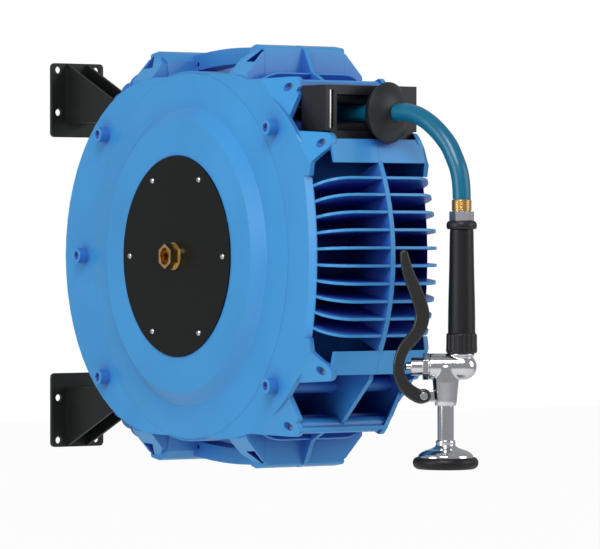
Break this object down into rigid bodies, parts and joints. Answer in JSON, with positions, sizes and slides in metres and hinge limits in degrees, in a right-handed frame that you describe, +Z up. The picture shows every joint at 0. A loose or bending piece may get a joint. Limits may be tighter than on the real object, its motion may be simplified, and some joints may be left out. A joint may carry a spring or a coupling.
{
  "type": "wall-mounted hose reel",
  "caption": "Enclosed swivelling hose reel with a finned moulded case, wall brackets, roller outlet, hose stop and a squeeze spray valve.",
  "frame": {"origin": "middle of the wall bolt pattern, in the plane of the wall", "axes": "+Z up, the hose outlet faces -Y, +Y into the wall, +X to the right seen from the front of the reel"},
  "size_m": [0.203, 0.7566, 0.4598],
  "materials": {
    "bracket_black": "powder coat, satin",
    "zinc_steel": "zinc plated",
    "spring_steel": "oiled",
    "case_blue": "gloss moulding",
    "plate_black": "satin",
    "brass": "machined",
    "black_plastic": "moulded",
    "black_rubber": "moulded rubber",
    "stop_grey": "moulded rubber",
    "hose_teal": "smooth hose cover",
    "chrome": "polished chrome plate",
    "spray_grey": "moulded",
    "lever_black": "satin"
  },
  "bodies": {
    "brackets": {"wall_bracket_upper": "bracket_black", "wall_bracket_lower": "bracket_black", "pivot_bolts": "zinc_steel", "pivot_nuts": "zinc_steel", "pivot_washers": "black_plastic"},
    "case": {"case_shell_left": "case_blue", "case_shell_right": "case_blue", "case_bolts": "zinc_steel", "case_nuts": "zinc_steel", "side_plate_left": "plate_black", "side_plate_right": "plate_black", "side_plate_screws": "zinc_steel", "inlet_fitting": "brass", "main_shaft": "zinc_steel", "shaft_clips": "zinc_steel", "pawl_pin": "zinc_steel", "power_spring": "spring_steel", "guide_frame": "black_plastic", "guide_axles": "zinc_steel", "hose_stop_left": "stop_grey", "hose_stop_right": "stop_grey", "hose_stop_screws": "zinc_steel", "hose_lead": "hose_teal", "free_hose": "hose_teal", "hose_coupling": "brass", "coupling_nut": "zinc_steel", "grip_collar": "black_plastic", "grip": "black_rubber", "grip_sleeve": "black_plastic", "valve_body": "chrome", "bonnet": "chrome", "outlet_stem": "chrome", "spray_bell": "chrome", "bell_ring": "black_rubber", "spray_plate": "spray_grey", "lever_screw": "chrome"},
    "drum": {"drum_hub": "black_plastic", "drum_flange_left": "black_plastic", "drum_flange_right": "black_plastic", "drum_bolts": "zinc_steel", "drum_bushes": "brass", "shaft_seals": "black_rubber", "feed_elbow": "brass", "wound_hose": "hose_teal", "ratchet_ring": "black_plastic", "spring_housing": "black_plastic", "spring_cover": "zinc_steel"},
    "pawl": {"ratchet_pawl": "zinc_steel"},
    "roller_top": {"roller_top": "black_plastic"},
    "roller_bottom": {"roller_bottom": "black_plastic"},
    "side_roller_left": {"side_roller_left": "chrome"},
    "side_roller_right": {"side_roller_right": "chrome"},
    "lever": {"lever": "lever_black"},
    "plunger": {"plunger": "chrome", "plunger_spring": "spring_steel"}
  },
  "joints": [
    {"name": "case_swivel", "type": "hinge", "parent": "brackets", "child": "case", "pos_m": [0, -0.136, 0], "axis": [0, 0, 1], "range_deg": [-90, 90]},
    {"name": "drum_spin", "type": "hinge", "parent": "case", "child": "drum", "pos_m": [0, -0.372, 0], "axis": [1, 0, 0], "continuous": true},
    {"name": "pawl_lift", "type": "hinge", "parent": "case", "child": "pawl", "pos_m": [-0.0585, -0.302, -0.124], "axis": [1, 0, 0], "range_deg": [0, 14], "stiffness_Nm_per_rad": 0.05, "springref_deg": -20.05},
    {"name": "roller_top_spin", "type": "hinge", "parent": "case", "child": "roller_top", "pos_m": [0, -0.603, 0.1691], "axis": [1, 0, 0], "continuous": true},
    {"name": "roller_bottom_spin", "type": "hinge", "parent": "case", "child": "roller_bottom", "pos_m": [0, -0.603, 0.1349], "axis": [1, 0, 0], "continuous": true},
    {"name": "side_roller_left_spin", "type": "hinge", "parent": "case", "child": "side_roller_left", "pos_m": [-0.051, -0.612, 0.15275], "axis": [0, 0, 1], "continuous": true},
    {"name": "side_roller_right_spin", "type": "hinge", "parent": "case", "child": "side_roller_right", "pos_m": [0.051, -0.612, 0.15275], "axis": [0, 0, 1], "continuous": true},
    {"name": "lever_squeeze", "type": "hinge", "parent": "case", "child": "lever", "pos_m": [0.00223, -0.70981, -0.1442], "axis": [0.5519, 0.8339, 0], "range_deg": [0, 7], "stiffness_Nm_per_rad": 4, "springref_deg": -5.73},
    {"name": "plunger_push", "type": "slide", "parent": "case", "child": "plunger", "axis": [0.8339, -0.5519, 0], "range_m": [0, 0.0042]}
  ],
  "couplings": [
    {"joint": "plunger_push", "follows": "lever_squeeze", "m_per_rad": 0.034}
  ]
}
